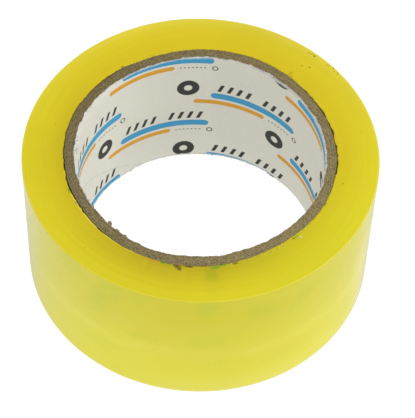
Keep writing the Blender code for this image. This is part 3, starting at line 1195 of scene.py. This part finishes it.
def build_core_fibres(rng):
    """Fibres on the core's cut ends, and the flakes that stand into the bore."""
    hairs = []
    for side in (1, -1):
        hairs += scatter(
            rng, side, count=70, radius=(BORE + 0.1, CORE_OUT - 0.1), sink=0.12,
            length=(0.25, 0.8), lean=(-0.6, 0.9), rise=(0.1, 0.6), width=(0.05, 0.11),
            thickness=0.03,
        )
        hairs += scatter(
            rng, side, count=46, radius=BORE + 0.25, sink=0.15, length=(0.3, 0.9),
            lean=(0.5, 1.0), rise=(-0.1, 0.5), width=(0.08, 0.2), thickness=0.05,
        )
    for angle, radius, length, width, thickness in FLAKES:
        path = flake(angle, radius, HALF - 0.28, length, rise=0.45)
        hairs.append(hair(path, width, thickness))
    material = speckled_material(
        "paper_fibre", rough=0.85, scale=1.5, low=srgb(112, 98, 68), high=srgb(168, 152, 116)
    )
    roll_part(join_hairs("core_fibres", hairs, material), "kraft_board")


def build_liner_shreds(rng):
    """White fibres and shreds at the liner's edges."""
    hairs = []
    for side, count in ((1, 24), (-1, 60)):
        hairs += scatter(
            rng, side, count, radius=BORE + 0.06, sink=0.35, length=(0.3, 1.1),
            lean=(0.15, 0.6), rise=(0.15, 0.5), width=(0.12, 0.35), thickness=0.05,
        )
    down = np.array([0, 0, 1.0])
    part = np.linspace(0, 1, 8)[:, None]
    for angle, length, width, drift in SHREDS:
        out, along = directions(angle)
        start = out * (BORE + 0.06) - down * (HALF - 0.6)
        # folded flat against the bore, so it stays within the roll's width
        path = start - out * 0.12 * part + along * length * drift * part**1.4 - down * 0.55 * part
        hairs.append(hair(path, width, 0.06))
    roll_part(join_hairs("liner_shreds", hairs, white_fibre_material()), "liner_paper")


def build_paper_crumb():
    """A pale crumb of paper on the first turns."""
    path = flake(315.5, 43.0, HALF - 0.01, length=0.55, rise=0.1)
    crumb = join_hairs("paper_crumb", [hair(path, 0.6, 0.18)], white_fibre_material())
    roll_part(crumb, "liner_paper")


def build_end_dust(rng):
    """Specks of dust caught in the top cut end, and a few hairs."""
    hairs = []
    for angle, radius, length, width in SPECKS:
        path = curl(angle, radius, HALF, length, rng.uniform(-0.8, 0.8), 0.0, rng)
        hairs.append(hair(path, width, 0.06))
    for angle, radius, length, lean, width in END_HAIRS:
        path = curl(angle, radius, HALF + 0.03, length, lean, 0.02, rng, count=12)
        hairs.append(hair(path, width, 0.05))
    material = speckled_material(
        "edge_dust", rough=0.8, scale=3.0, low=srgb(62, 54, 24), high=srgb(104, 92, 34)
    )
    roll_part(join_hairs("end_dust", hairs, material), "tape_roll")


# ---------------------------------------------------------------- stage, light and camera


def floor_material():
    """Matt white glow: full to the camera, dimmer in reflections near the roll
    and towards +X. Distances are in metres."""
    data = bpy.data.materials.new("floor_white")
    data.use_nodes = True
    graph = Graph(data.node_tree)
    graph.tree.nodes.clear()
    rays = graph.node("ShaderNodeLightPath")
    place = graph.out(graph.node("ShaderNodeNewGeometry"), "Position")
    slope = graph.map_range(graph.split(place)[0], -0.10, 0.03, start=0.74, end=0.56)
    reach = graph.node("ShaderNodeVectorMath", operation="LENGTH")
    graph.put(reach.inputs[0], place)
    distance = graph.out(reach, "Value")
    close = graph.map_range(distance, 0.0606, 0.0763, start=0.74, end=1.0)
    reflected = graph.mix_number(graph.out(rays, "Is Glossy Ray"), 1.0, slope * close)
    strength = graph.mix_number(graph.out(rays, "Is Camera Ray"), reflected, 1.0)

    glow = graph.node("ShaderNodeEmission")
    graph.put(glow.inputs["Color"], (1, 1, 1))
    graph.put(glow.inputs["Strength"], strength)
    matt = graph.node("ShaderNodeBsdfDiffuse")
    graph.put(matt.inputs["Color"], (0.12, 0.12, 0.12))
    both = graph.node("ShaderNodeAddShader")
    graph.put(both.inputs[0], graph.out(glow))
    graph.put(both.inputs[1], graph.out(matt))
    graph.put(graph.node("ShaderNodeOutputMaterial").inputs[0], graph.out(both))
    return data


def build_floor():
    """A wide disc 0.4 mm below the roll."""
    bpy.ops.mesh.primitive_circle_add(
        vertices=96, radius=3.0, fill_type="NGON", location=(0, 0, -HALF * MM - 0.0004)
    )
    floor = bpy.context.object
    floor.name = "floor"
    floor.data.materials.append(floor_material())


def build_world():
    """White surroundings, brighter to the camera than as a light."""
    world = bpy.data.worlds.new("studio")
    bpy.context.scene.world = world
    world.use_nodes = True
    graph = Graph(world.node_tree)
    background = graph.tree.nodes["Background"]
    seen = graph.out(graph.node("ShaderNodeLightPath"), "Is Camera Ray")
    graph.put(background.inputs["Color"], (1, 1, 1))
    graph.put(background.inputs["Strength"], graph.mix_number(seen, 0.74, 1.0))


def add_disk_light(name, location, size, power):
    """A round lamp aimed at the origin; metres and watts."""
    light = bpy.data.lights.new(name, "AREA")
    light.shape = "DISK"
    light.size = size
    light.energy = power
    obj = bpy.data.objects.new(name, light)
    obj.location = location
    obj.rotation_mode = "QUATERNION"
    obj.rotation_quaternion = (-Vector(location)).to_track_quat("-Z", "Y")
    bpy.context.scene.collection.objects.link(obj)


def build_camera():
    data = bpy.data.cameras.new("camera")
    data.sensor_width = 36.0
    data.lens = 172.1592344
    data.clip_start = 0.01
    data.clip_end = 20.0
    camera = bpy.data.objects.new("camera", data)
    bpy.context.scene.collection.objects.link(camera)
    tilt, roll = math.radians(53.906), math.radians(2.086)
    forward = Vector((0, math.cos(tilt), -math.sin(tilt)))
    right = Vector((1, 0, 0))
    above = right.cross(forward)
    place = 2.652 * right - 2.246 * above - 630.033 * forward
    rolled_right = right * math.cos(roll) + above * math.sin(roll)
    rolled_up = above * math.cos(roll) - right * math.sin(roll)
    axes = Matrix((rolled_right, rolled_up, -forward)).transposed()
    camera.matrix_world = Matrix.Translation(place * MM) @ axes.to_4x4()
    bpy.context.scene.camera = camera
    view = bpy.context.scene.view_settings
    view.view_transform = "Standard"
    view.look = "None"
    view.exposure = 0.0
    view.gamma = 1.0


build_core()
build_winding()
build_film()

fibre_rng = np.random.default_rng(81)
build_core_fibres(fibre_rng)
build_liner_shreds(fibre_rng)
build_paper_crumb()
build_end_dust(fibre_rng)

build_floor()
build_world()
add_disk_light("key_light", location=(0.55, 0.10, 0.70), size=0.55, power=4.2)
add_disk_light("fill_light", location=(-0.5, -0.5, 0.5), size=0.6, power=0.4)
build_camera()
